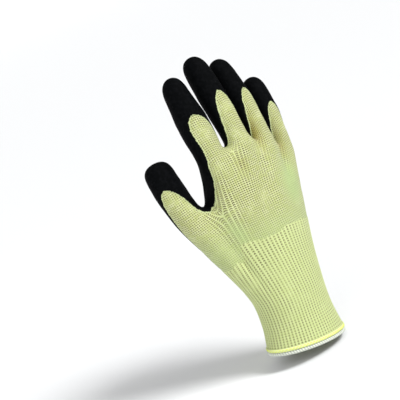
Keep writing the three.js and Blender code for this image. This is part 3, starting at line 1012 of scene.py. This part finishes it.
@dataclass(frozen=True)
class KnitFinish:
    """Polyester and cotton jersey, knitted on a seamless glove machine.

    The eye sees rows of small rounded loops in pale yarn, a brown inner yarn that shows
    through between them as rows of dots, and a matt nap. Painted shade in a golden tone lies
    down in the folds. The loops are drawn a little coarser than real ones, so that they show.
    """

    name: str
    yarn: str = "b5bd7b"
    yarn_pale: str = "cbd19c"
    smooth_yarn: str = "acbe80"
    # The colour of the painted shade in the folds.
    painted_fold_shade: str = "96892a"
    dot: str = "3c2208"
    roughness: float = 0.92
    gloss: float = 0.2
    wales: float = 2.5
    course_mm: float = 1.65
    chevron: float = 0.5
    dot_half: float = 0.36
    dot_soft: float = 0.09
    dot_gap: float = 0.74
    gap_soft: float = 0.25
    dot_least: float = 0.65
    dot_fade: float = 0.6
    # How strongly the painted fold shade is mixed in.
    painted_fold_shade_share: float = 0.75
    bump_mm: float = 0.11
    bump_strength: float = 0.9
    green_from_mm: float = 130
    green_to_mm: float = 92
    green_share: float = 0.6
    patch_mm: float = 15
    patch_from: float = 0.30
    patch_to: float = 0.52
    patch_least: float = 0.6
    nap_mm: float = 0.8
    nap_share: float = 0.4
    leg_share: float = 0.35
    sheen: float = 0.15
    sheen_roughness: float = 0.6

    def make(self) -> bpy.types.Material:
        """Returns the knit's material."""
        material, node, surface = new_material(self.name, self.roughness, self.gloss)
        uv = node("UVMap", uv_map="knit")
        around, up = (node("SeparateXYZ", {0: uv}, axis) for axis in "XY")
        wale = node("Math", {0: around, 1: self.wales}, operation="MULTIPLY")
        off = node("Math", {0: wale}, operation="FRACT")
        off = node("Math", {0: off, 1: 0.5}, operation="SUBTRACT")
        off = node("Math", {0: off}, operation="ABSOLUTE")
        course = node("Math", {0: up, 1: self.course_mm}, operation="DIVIDE")
        row = node("Math", {0: off, 1: 2 * self.chevron, 2: course}, operation="MULTIPLY_ADD")
        arch = node("Math", {0: row}, operation="FRACT")
        arch = node("Math", {0: arch, 1: math.pi}, operation="MULTIPLY")
        arch = node("Math", {0: arch}, operation="SINE")
        leg = node("Math", {0: off, 1: 2 * math.pi, 2: -math.pi / 2}, operation="MULTIPLY_ADD")
        leg = node("Math", {0: leg}, operation="COSINE")

        where = node("TexCoord", out="Object")
        height = node("SeparateXYZ", {0: where}, "Z")
        low, high = self.green_from_mm * MM, self.green_to_mm * MM
        green = node("MapRange", {0: height, 1: low, 2: high, 4: self.green_share}, **SMOOTH)
        smooth = node("Attribute", out="Fac", attribute_name="smooth")
        green = node("Math", {0: green, 1: smooth}, operation="MAXIMUM")
        # Painted shade: a vertex layer marks the folds and rib valleys, and a golden tone is mixed
        # in there for their shade and yellow bounce light.
        painted_shade_and_band = node("Attribute", out="Fac", attribute_name="painted_shade_and_band")
        tint = node("Math", {0: painted_shade_and_band, 1: self.painted_fold_shade_share}, operation="MULTIPLY", use_clamp=True)

        cell = [node("Math", {0: line}, operation="FLOOR") for line in (wale, row)]
        cell = node("CombineXYZ", {0: cell[0], 1: cell[1]})
        chance = node("TexWhiteNoise", {0: cell}, noise_dimensions="2D")
        patch = node("TexNoise", {0: where, 2: 1 / (self.patch_mm * MM), 3: 3.0})
        limits = {1: self.patch_from, 2: self.patch_to, 3: self.patch_least}
        strengths = [node("MapRange", {0: patch, **limits}, **SMOOTH)]
        for source, slope, start in (
            (chance, 1 - self.dot_least, self.dot_least),
            (green, -self.dot_fade, 1.0),
        ):
            inputs = {0: source, 1: slope, 2: start}
            strengths.append(node("Math", inputs, operation="MULTIPLY_ADD"))
        for line, edge, soft in (
            (off, self.dot_half, self.dot_soft),
            (arch, self.dot_gap, self.gap_soft),
        ):
            strengths.append(node("MapRange", {0: line, 1: edge + soft, 2: edge - soft}, **SMOOTH))
        shown = 1.0
        for strength in strengths:
            shown = node("Math", {0: shown, 1: strength}, operation="MULTIPLY", use_clamp=True)

        pale = (chance, self.yarn_pale)
        worn = (green, self.smooth_yarn)
        # Over the ground colour, the third layer is the painted fold shade.
        paint(material, self.yarn, pale, worn, (tint, self.painted_fold_shade), (shown, self.dot))

        inputs = {0: arch, 1: 1 - self.leg_share, 2: self.leg_share}
        height = node("Math", inputs, operation="MULTIPLY_ADD")
        height = node("Math", {0: leg, 1: height}, operation="MULTIPLY")
        nap = node("TexNoise", {0: where, 2: 1 / (self.nap_mm * MM), 3: 2.0})
        height = node("Math", {0: nap, 1: self.nap_share, 2: height}, operation="MULTIPLY_ADD")
        emboss(material, height, self.bump_mm, self.bump_strength)
        surface["Sheen Weight"].default_value = self.sheen
        surface["Sheen Roughness"].default_value = self.sheen_roughness
        return material


@dataclass(frozen=True)
class LatexFinish:
    """Natural rubber latex, dipped and crinkled, in black.

    The eye sees a matt skin with a fine wrinkled grain and weak broad highlights. Its edge
    is thin and the pale knit shows through it in nicks.
    """

    name: str = "crinkle_latex"
    skin: str = "020304"
    dusty: str = "07080a"
    fringe: str = "bcc592"
    roughness: float = 0.72
    gloss: float = 0.04
    wrinkle_mm: float = 2.4
    warp: float = 0.6
    grain_mm: float = 0.7
    grain_share: float = 0.5
    dust_from: float = 0.42
    dust_to: float = 0.62
    nick_depth: float = 1.6
    nick_from: float = 0.15
    nick_to: float = -0.35
    bump_mm: float = 0.22
    bump_strength: float = 0.8

    def make(self) -> bpy.types.Material:
        """Returns the latex's material."""
        material, node, _ = new_material(self.name, self.roughness, self.gloss)
        where = node("TexCoord", out="Object")
        scale = 1 / (self.wrinkle_mm * MM)
        wrinkle = node("TexNoise", {0: where, 2: scale, 3: 5.0, "Distortion": self.warp})
        grain = node("TexNoise", {0: where, 2: 1 / (self.grain_mm * MM), 3: 2.0})
        inputs = {0: grain, 1: self.grain_share, 2: wrinkle}
        height = node("Math", inputs, operation="MULTIPLY_ADD")
        emboss(material, height, self.bump_mm, self.bump_strength)
        dusty = node("MapRange", {0: wrinkle, 1: self.dust_from, 2: self.dust_to}, **SMOOTH)
        edge = node("Attribute", out="Fac", attribute_name="edge")
        nicked = node("Math", {0: grain, 1: -self.nick_depth, 2: edge}, operation="MULTIPLY_ADD")
        nicked = node("MapRange", {0: nicked, 1: self.nick_from, 2: self.nick_to}, **SMOOTH)
        paint(material, self.skin, (dusty, self.dusty), (nicked, self.fringe))
        return material


@dataclass(frozen=True)
class ThreadFinish:
    """Spun polyester thread: matt and pale, streaked along its twist, with painted groove shade.
    """

    name: str
    thread: str
    streak: str
    # On the overlock, the colour of painted shade in the grooves; on the marker, the band's own
    # pale colour.
    groove: str
    roughness: float = 0.85
    gloss: float = 0.2
    streak_mm: float = 0.9
    streak_from: float = 0.40
    streak_to: float = 0.70
    bump_mm: float = 0.2
    bump_strength: float = 0.7

    def make(self) -> bpy.types.Material:
        """Returns the thread's material."""
        material, node, _ = new_material(self.name, self.roughness, self.gloss)
        where = node("TexCoord", out="Object")
        twist = node("TexNoise", {0: where, 2: 1 / (self.streak_mm * MM), 3: 3.0})
        light = node("MapRange", {0: twist, 1: self.streak_from, 2: self.streak_to}, **SMOOTH)
        # Painted shade in the overlock's grooves; on the marker the same layer marks the pale
        # band.
        painted_shade_and_band = node("Attribute", out="Fac", attribute_name="painted_shade_and_band")
        paint(material, self.thread, (light, self.streak), (painted_shade_and_band, self.groove))
        emboss(material, twist, self.bump_mm, self.bump_strength)
        return material


def make_piece(
    name: str,
    node: str,
    mesh: bpy.types.Mesh,
    material: bpy.types.Material,
    wall_mm: float = 0.0,
) -> bpy.types.Object:
    """Places a finished mesh as a piece of the object.

    Args:
        name: The piece's name.
        node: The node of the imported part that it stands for.
        mesh: Its mesh, in the frame's place.
        material: Its finish.
        wall_mm: The thickness of its wall inwards, or nought where it has none to add.

    Returns:
        The piece.
    """
    piece = bpy.data.objects.new(name, mesh)
    bpy.context.scene.collection.objects.link(piece)
    mesh.materials.clear()
    mesh.materials.append(material)
    mesh.polygons.foreach_set("material_index", [0] * len(mesh.polygons))
    if wall_mm:
        wall = piece.modifiers.new("wall", "SOLIDIFY")
        wall.thickness = wall_mm * MM
        wall.offset = -1
    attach(piece, "root")
    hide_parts(node)
    return piece


@dataclass
class HandLayer:
    """What the liner and the coating share: the smooth shell and its distance from the edge."""

    outline: CoatOutline
    drape: Drape

    def open_shell(self, mesh: bpy.types.Mesh) -> Any:
        """Opens the smooth shell, and measures each point's distance inside the coating.

        Args:
            mesh: The smooth shell.

        Returns:
            The shell, with the distances in millimetres in its layer edge.
        """
        bm = bmesh.new()
        bm.from_mesh(mesh)
        edge = bm.verts.layers.float.new("edge")
        spot = bm.loops.layers.uv["spot"]
        zone = bm.faces.layers.int["zone"]
        for vert in bm.verts:
            height = vert.co.z / MM
            found = [
                self.outline.inside(Zone(loop.face[zone]), height, *loop[spot].uv)
                for loop in vert.link_loops
            ]
            distance = self.outline.round_web(sum(found) / len(found), vert.co)
            vert[edge] = self.outline.ragged(distance, vert.co)
        return bm

    def lift(self, bm: Any, height: Callable[[Any], float]) -> None:
        """Moves each point of the shell out by its height in millimetres and by the drape."""
        for vert in bm.verts:
            vert.co += vert.normal * ((height(vert) + self.drape.lift(vert.co)) * MM)

    @staticmethod
    def tint(bm: Any, name: str, strokes: tuple[Stroke, ...]) -> None:
        """Keeps the strength of some strokes at each point, up to 1, under a name."""
        layer = bm.verts.layers.float.new(name)
        for vert in bm.verts:
            vert[layer] = min(sum(stroke.weight(vert.co / MM) for stroke in strokes), 1)


@dataclass
class KnitLiner(HandLayer):
    """The seamless knitted hand, seen on the back and inside the mouth."""

    lift_mm: float = 0.35
    wall_mm: float = 1.2
    tuck_mm: float = 0.45
    tuck_from_mm: float = 1.0
    tuck_run_mm: float = 2.0
    dip_mm: float = 1.7
    dip_length_mm: float = 8.0
    spare_mm: float = 1.0

    def build(self, mesh: bpy.types.Mesh, finish: KnitFinish) -> bpy.types.Object:
        """Makes the liner.

        Args:
            mesh: The smooth shell of the hand.
            finish: The knit.

        Returns:
            The liner's piece.
        """
        bm = self.open_shell(mesh)
        # Painted shade in the finger crotches, kept as a vertex layer.
        self.tint(bm, "painted_shade_and_band", PAINTED_FOLD_SHADES)
        self.tint(bm, "smooth", SMOOTH_PATCHES)
        edge = bm.verts.layers.float["edge"]
        zone = bm.faces.layers.int["zone"]
        spot = bm.loops.layers.uv["spot"]
        drops = {vert: 0.0 for vert in bm.verts}
        for face in bm.faces:
            if face[zone] == Zone.CUFF.value:
                drops.update({loop.vert: loop[spot].uv[1] for loop in face.loops})

        def height(vert: Any) -> float:
            """Returns how far the knit stands out, less under the coating and the cuff."""
            tuck = self.tuck_mm * ease((vert[edge] - self.tuck_from_mm) / self.tuck_run_mm)
            return self.lift_mm - tuck - self.dip_mm * ease(drops[vert] / self.dip_length_mm)

        self.lift(bm, height)
        reach = self.dip_length_mm + self.spare_mm
        far = [face for face in bm.faces if max(drops[vert] for vert in face.verts) > reach]
        bmesh.ops.delete(bm, geom=far, context="FACES")
        bm.loops.layers.uv.remove(bm.loops.layers.uv["spot"])
        cloth = finished(bm, "knit_liner")
        return make_piece(
            "knit_liner_cloth", "knit_liner", cloth, finish.make(), self.wall_mm
        )


@dataclass
class LatexCoating(HandLayer):
    """The dipped skin over the palm and the digits, cut along its ragged edge."""

    lift_mm: float = 0.50
    rise_mm: float = 0.55
    rise_length_mm: float = 2.2
    wall_mm: float = 0.8
    least_cut: float = 0.15

    def cut(self, bm: Any, edge: Any) -> None:
        """Cuts the shell along the edge and drops what lies outside it.

        Args:
            bm: The shell.
            edge: The layer of distances inside the coating.
        """
        crossing = [e for e in bm.edges if (e.verts[0][edge] > 0) != (e.verts[1][edge] > 0)]
        cuts = []
        for line in crossing:
            first, second = line.verts
            share = first[edge] / (first[edge] - second[edge])
            share = min(max(share, self.least_cut), 1 - self.least_cut)
            _, vert = bmesh.utils.edge_split(line, first, share)
            vert[edge] = 0.0
            cuts.append(vert)
        bmesh.ops.connect_verts(bm, verts=cuts)
        outside = [face for face in bm.faces if min(vert[edge] for vert in face.verts) < 0]
        bmesh.ops.delete(bm, geom=outside, context="FACES")

    def build(self, mesh: bpy.types.Mesh, finish: LatexFinish) -> bpy.types.Object:
        """Makes the coating.

        Args:
            mesh: The smooth shell of the hand.
            finish: The latex.

        Returns:
            The coating's piece.
        """
        bm = self.open_shell(mesh)
        edge = bm.verts.layers.float["edge"]

        def height(vert: Any) -> float:
            """Returns how far the skin stands out, less by its thin edge."""
            return self.lift_mm + self.rise_mm * ease(vert[edge] / self.rise_length_mm)

        self.lift(bm, height)
        self.cut(bm, edge)
        bm.loops.layers.uv.remove(bm.loops.layers.uv["spot"])
        skin = finished(bm, "latex_coating")
        return make_piece(
            "latex_skin", "latex_coating", skin, finish.make(), self.wall_mm
        )


@dataclass
class WristTube:
    """Rings that follow the wrist of the form, for the cuff and its edges."""

    form: GloveForm

    def around(self, share: float, columns: int) -> list[tuple[Vector, Vector]]:
        """Walks round the wrist.

        Args:
            share: The height, from the mouth at 0 to the thumb's split at 1.
            columns: How many places to give.

        Returns:
            A point and the level direction outwards for each place.
        """
        ring = self.form.heel_ring(share)
        count = len(ring)
        spans = [(ring[(k + 1) % count] - ring[k]).length for k in range(count)]
        gone = 0.0
        index = 0
        found = []
        for column in range(columns):
            place = column * sum(spans) / columns
            while place > gone + spans[index]:
                gone += spans[index]
                index += 1
            t = (place - gone) / spans[index]
            a, b, c, d = (ring[(index + step) % count] for step in (-1, 0, 1, 2))
            point = (b * 2 + (c - a) * t + (a * 2 - b * 5 + c * 4 - d) * t**2) / 2
            point += ((b - c) * 3 + d - a) * t**3 / 2
            tangent = (c - a) * (1 - t) + (d - b) * t
            found.append((point, Vector((tangent.y, -tangent.x, 0)).normalized()))
        return found

    def tube(
        self,
        columns: int,
        rows: Sequence[tuple[float, float]],
        profile: Callable[[int, int], tuple[float, float]],
        closed: bool,
        wales: float,
    ) -> Any:
        """Extrudes ring after ring round the wrist.

        Args:
            columns: The places round each ring.
            rows: For each ring its share of the wrist and its rise in millimetres.
            profile: Gives, for a row and a column, the offset outwards in millimetres and the
            share from 0 to 1 of painted shade in grooves and valleys; on the marker it marks the
            band.
            closed: Whether the last ring joins the first.
            wales: How many wales run round the tube.

        Returns:
            The tube, with the knit's map.
        """
        bm = bmesh.new()
        knit = bm.loops.layers.uv.new("knit")
        # A layer of painted shade in grooves and valleys; on the marker it marks the pale band
        # instead.
        painted_shade_and_band = bm.verts.layers.float.new("painted_shade_and_band")
        ring = bmesh.ops.create_circle(bm, cap_ends=False, segments=columns, radius=MM)["verts"]
        spots: dict[Any, tuple[int, float]] = {}
        run = 0.0
        for row, (share, rise) in enumerate(rows):
            below = ring
            ring = extrude_ring(bm, ring) if row else ring
            for column, (point, out) in enumerate(self.around(share, columns)):
                offset, ring[column][painted_shade_and_band] = profile(row, column)
                ring[column].co = (point + out * offset + Vector((0, 0, rise))) * MM
            run += (ring[0].co - below[0].co).length / MM
            spots.update({vert: (column, run) for column, vert in enumerate(ring)})
        for face in bm.faces:
            wraps = {0, columns - 1} <= {spots[vert][0] for vert in face.verts}
            for loop in face.loops:
                column, height = spots[loop.vert]
                column = columns if wraps and column == 0 else column
                loop[knit].uv = (column * wales / columns, height)
        if closed:
            bmesh.ops.remove_doubles(bm, verts=bm.verts[:], dist=0.001 * MM)
        face_outwards(bm, Vector((1, 0, 0)))
        return bm


@dataclass
class RibCuff(WristTube):
    """The ribbed wrist, with its ribs as real folds that fade into the hand."""

    rib_pitch: float = 2.7
    relief: float = 0.38
    crest: float = 0.35
    steps: int = 6
    rows: int = 44
    fade: float = 0.22
    lap: float = 8.0
    lap_dip: float = 1.7
    base_rise: float = 3.1
    wall: float = 1.2
    wander: float = 0.25
    wander_around: float = 3
    wander_up: float = 4
    flare_share: float = 0.2

    def build(self, finish: KnitFinish) -> bpy.types.Object:
        """Makes the cuff, and returns its piece."""
        form = self.form
        perimeter = math.pi * math.hypot(form.cuff_width, form.cuff_depth) / math.sqrt(2)
        ribs = round(perimeter / self.rib_pitch)
        columns = ribs * self.steps
        lap_share = self.lap / form.heel_height
        top = form.wrist_top + lap_share
        places = [row / (self.rows - 1) for row in range(self.rows)]
        rows = [(place * top, (1 - place) * self.base_rise) for place in places]

        def profile(row: int, column: int) -> tuple[float, float]:
            """Returns the rib's offset and painted valley shade at a row and a column."""
            place = places[row]
            fold = 0.5 - 0.5 * math.cos(2 * math.pi * column / self.steps)
            depth = self.relief * mix(self.flare_share, 1, ease((1 - place) / self.fade))
            dip = self.lap_dip * ease((place * top - form.wrist_top) / lap_share)
            angle = 2 * math.pi * column / columns
            around = Vector((math.cos(angle), math.sin(angle), 0)) * self.wander_around
            sway = self.wander * noise.noise(around + Vector((0, 0, self.wander_up * place)))
            # The second value is painted shade, strongest down in each rib's valley.
            return self.crest + sway - depth * fold**1.5 - dip, fold**2

        cloth = finished(self.tube(columns, rows, profile, False, ribs), "rib_cuff")
        return make_piece(
            "rib_cuff_cloth", "rib_cuff", cloth, finish.make(), self.wall
        )


@dataclass
class BoundEdge(WristTube):
    """A ring of slanted thread wraps round the hem."""

    height: float = 2.8
    inner: float = -2.45
    outer: float = 0.75
    squareness: float = 0.7
    wraps: int = 84
    steps: int = 5
    rows: int = 14
    bulge: float = 0.38
    twist: float = 1.6

    def build(self, finish: ThreadFinish) -> bpy.types.Object:
        """Makes the ring, and returns its piece."""
        centre = (self.inner + self.outer) / 2
        half_wide = (self.outer - self.inner) / 2
        angles = [2 * math.pi * row / self.rows for row in range(self.rows + 1)]

        def rounded(value: float) -> float:
            """Squares off a sine or cosine."""
            return math.copysign(abs(value) ** self.squareness, value)

        def profile(row: int, column: int) -> tuple[float, float]:
            """Returns the wraps' offset and painted groove shade at a row and a column."""
            turn = 2 * math.pi * column / self.steps + self.twist * math.sin(angles[row])
            groove = 0.5 - 0.5 * math.cos(turn)
            width = half_wide - self.bulge * groove
            # The second value is painted shade, strongest down between the wraps.
            return centre + rounded(math.cos(angles[row])) * width, groove**2

        rows = [(0.0, self.height / 2 * (1 + rounded(math.sin(angle)))) for angle in angles]
        ring = self.tube(self.wraps * self.steps, rows, profile, True, self.wraps)
        thread = finished(ring, "overlock_edge")
        return make_piece(
            "overlock_thread", "overlock_edge", thread, finish.make()
        )


@dataclass
class MarkerStitching(WristTube):
    """The bright chain of stitches over the hem, on a thin band of laid threads."""

    base: float = 3.2
    height: float = 2.6
    lift: float = 0.15
    thickness: float = 0.3
    stitches: int = 66
    slant: float = 14
    seat: float = 0.27
    stand: float = 0.1
    length: float = 2.4
    girth: float = 0.55

    def build(self, finish: ThreadFinish) -> bpy.types.Object:
        """Makes the stitches, and returns their piece."""
        base, top = self.base, self.base + self.height
        inner, outer = self.lift, self.lift + self.thickness
        rows = [(0.0, base), (0.0, top), (0.0, top), (0.0, base), (0.0, base)]
        offsets = (outer, outer, inner, inner, outer)

        def profile(row: int, _: int) -> tuple[float, float]:
            """Returns the band's offset, all of it pale."""
            return offsets[row], 1.0

        bm = self.tube(2 * WRIST_COLUMNS, rows, profile, True, WRIST_COLUMNS)
        up = Vector((0, 0, 1))
        size = Matrix.Diagonal((self.length / 2, self.girth / 2, self.girth / 2, 1 / MM))
        for index, (point, out) in enumerate(self.around(0.0, 2 * self.stitches)):
            sign = 1 if index % 2 else -1
            turn = Matrix((up.cross(out), up, out)).transposed().to_4x4()
            spin = Matrix.Rotation(math.radians(sign * self.slant), 4, "Z")
            rise = base + self.height * (0.5 - sign * (0.5 - self.seat))
            place = point + out * (outer + self.stand) + up * rise
            matrix = Matrix.Translation(place * MM) @ turn @ spin @ (size * MM)
            bmesh.ops.create_uvsphere(bm, u_segments=8, v_segments=5, radius=1, matrix=matrix)
        thread = finished(bm, "marker_stitching")
        return make_piece(
            "marker_thread", "marker_stitching", thread, finish.make()
        )


@dataclass
class Studio:
    """The pale floor, the soft lights and the camera at the photograph's angle."""

    azimuth: float = -30.8
    elevation: float = 11.1
    roll: float = 21.4
    distance: float = 1.0
    target: tuple[float, float, float] = (-0.0325, 0.020, 0.137)
    lens: float = 117.2
    sensor: float = 36
    floor_drop: float = 0.004
    floor_radius: float = 14
    floor_segments: int = 96
    floor_finish: tuple[float, float] = (0.9, 0.1)
    floor_colour: str = "f4f5f6"
    sweep_radius: float = 3
    sweep_steps: int = 8
    sun_place: tuple[float, float, float] = (0.6, -1.2, 1.5)
    sun_angle: float = 22
    sun_strength: float = 2.9
    fill_place: tuple[float, float, float] = (-0.9, -0.7, 0.6)
    fill_watts: float = 5.5
    fill_side: float = 0.8
    sky_strength: float = 0.42

    def add_floor(self) -> None:
        """Lays the floor just under the hem, and sweeps it up into a round wall far off."""
        bm = bmesh.new()
        made = bmesh.ops.create_circle(
            bm, cap_ends=True, segments=self.floor_segments, radius=self.floor_radius
        )
        ring = made["verts"]
        spokes = [vert.co.normalized() for vert in ring]
        for step in range(self.sweep_steps + 1):
            turn = step * math.pi / 2 / self.sweep_steps
            ring = extrude_ring(bm, ring) if step else ring
            for vert, spoke in zip(ring, spokes):
                vert.co = spoke * (self.floor_radius + self.sweep_radius * math.sin(turn))
                vert.co.z = self.sweep_radius * (1 - math.cos(turn))
                vert.co.z += CAD_BOX[0].z - self.floor_drop
        face_outwards(bm, Vector((0, 0, -1)))
        bmesh.ops.reverse_faces(bm, faces=bm.faces[:])
        mesh = finished(bm, "floor")
        material, _, surface = new_material("pale_floor", *self.floor_finish)
        surface["Base Color"].default_value = linear(self.floor_colour)
        mesh.materials.append(material)
        floor = bpy.data.objects.new("floor", mesh)
        bpy.context.scene.collection.objects.link(floor)

    def add_light(
        self, name: str, kind: str, place: tuple[float, float, float], power: float
    ) -> bpy.types.Light:
        """Adds a light that faces the glove.

        Args:
            name: The light's name.
            kind: SUN or AREA.
            place: Where it stands, in metres.
            power: Its strength, in watts, or watts a square metre for a sun.

        Returns:
            The light, still without its size.
        """
        light = bpy.data.lights.new(name, kind)
        light.energy = power
        lamp = bpy.data.objects.new(name, light)
        lamp.location = place
        aim = Vector(self.target) - Vector(place)
        lamp.rotation_mode = "QUATERNION"
        lamp.rotation_quaternion = aim.to_track_quat("-Z", "Y")
        bpy.context.scene.collection.objects.link(lamp)
        return light

    def add_world(self) -> None:
        """Surrounds the scene with even white light."""
        world = bpy.data.worlds.new("studio")
        world.use_nodes = True
        background = world.node_tree.nodes["Background"]
        background.inputs["Color"].default_value = (1, 1, 1, 1)
        background.inputs["Strength"].default_value = self.sky_strength
        bpy.context.scene.world = world

    def add_camera(self) -> None:
        """Sets the camera at the photograph's angle, leaning as its picture does."""
        turn, tilt, roll = (math.radians(v) for v in (self.azimuth, self.elevation, self.roll))
        level = Vector((math.cos(turn), math.sin(turn), 0))
        inwards = Vector((-level.y, level.x, 0))
        ahead = inwards * math.cos(tilt) - Vector((0, 0, math.sin(tilt)))
        upright = level.cross(ahead)
        right = level * math.cos(roll) - upright * math.sin(roll)
        above = level * math.sin(roll) + upright * math.cos(roll)
        data = bpy.data.cameras.new("camera")
        data.sensor_width = self.sensor
        data.lens = self.lens
        data.clip_start, data.clip_end = 0.01, 500
        camera = bpy.data.objects.new("camera", data)
        camera.rotation_mode = "QUATERNION"
        camera.rotation_quaternion = Matrix((right, above, -ahead)).transposed().to_quaternion()
        camera.location = Vector(self.target) - ahead * self.distance
        bpy.context.scene.collection.objects.link(camera)
        bpy.context.scene.camera = camera

    def build(self) -> None:
        """Sets up the whole studio."""
        self.add_floor()
        self.add_world()
        sun = self.add_light("key_sun", "SUN", self.sun_place, self.sun_strength)
        sun.angle = math.radians(self.sun_angle)
        fill = self.add_light("fill_light", "AREA", self.fill_place, self.fill_watts)
        fill.size = self.fill_side
        self.add_camera()
        bpy.context.scene.view_settings.view_transform = "Standard"


def main() -> None:
    """Builds the glove piece by piece, then the studio."""
    logging.basicConfig(level=logging.INFO, format="%(name)s: %(message)s")
    form = GloveForm()
    shell = HandShell(form)
    shell.build()
    smooth = shell.refined()
    outline = CoatOutline(form.wrist_top * form.heel_height)
    drape = Drape(creases=CREASES)
    knit = KnitFinish("jersey_knit")
    rib_knit = KnitFinish(
        "rib_knit",
        yarn="bac385",
        yarn_pale="cad39b",
        smooth_yarn="b8c486",
        # A weak painted shade in the rib valleys.
        painted_fold_shade="9da04c",
        wales=1.0,
        course_mm=2.0,
        dot_half=0.24,
        dot_fade=0.3,
        painted_fold_shade_share=0.1,
    )
    # The last colour is painted shade in the grooves between the wraps.
    overlock = ThreadFinish("overlock_thread", "e4e8dd", "c9cec2", "8e948c")
    marker = ThreadFinish("marker_thread", "dbe93f", "cfdc3c", "e3e8b4")
    pieces = [
        KnitLiner(outline, drape).build(smooth, knit),
        LatexCoating(outline, drape).build(smooth, LatexFinish()),
        RibCuff(form).build(rib_knit),
        BoundEdge(form).build(overlock),
        MarkerStitching(form).build(marker),
    ]
    for piece in pieces:
        LOG.info("%s: %d faces", piece.name, len(piece.data.polygons))
    Studio().build()


if __name__ == "__main__":
    main()
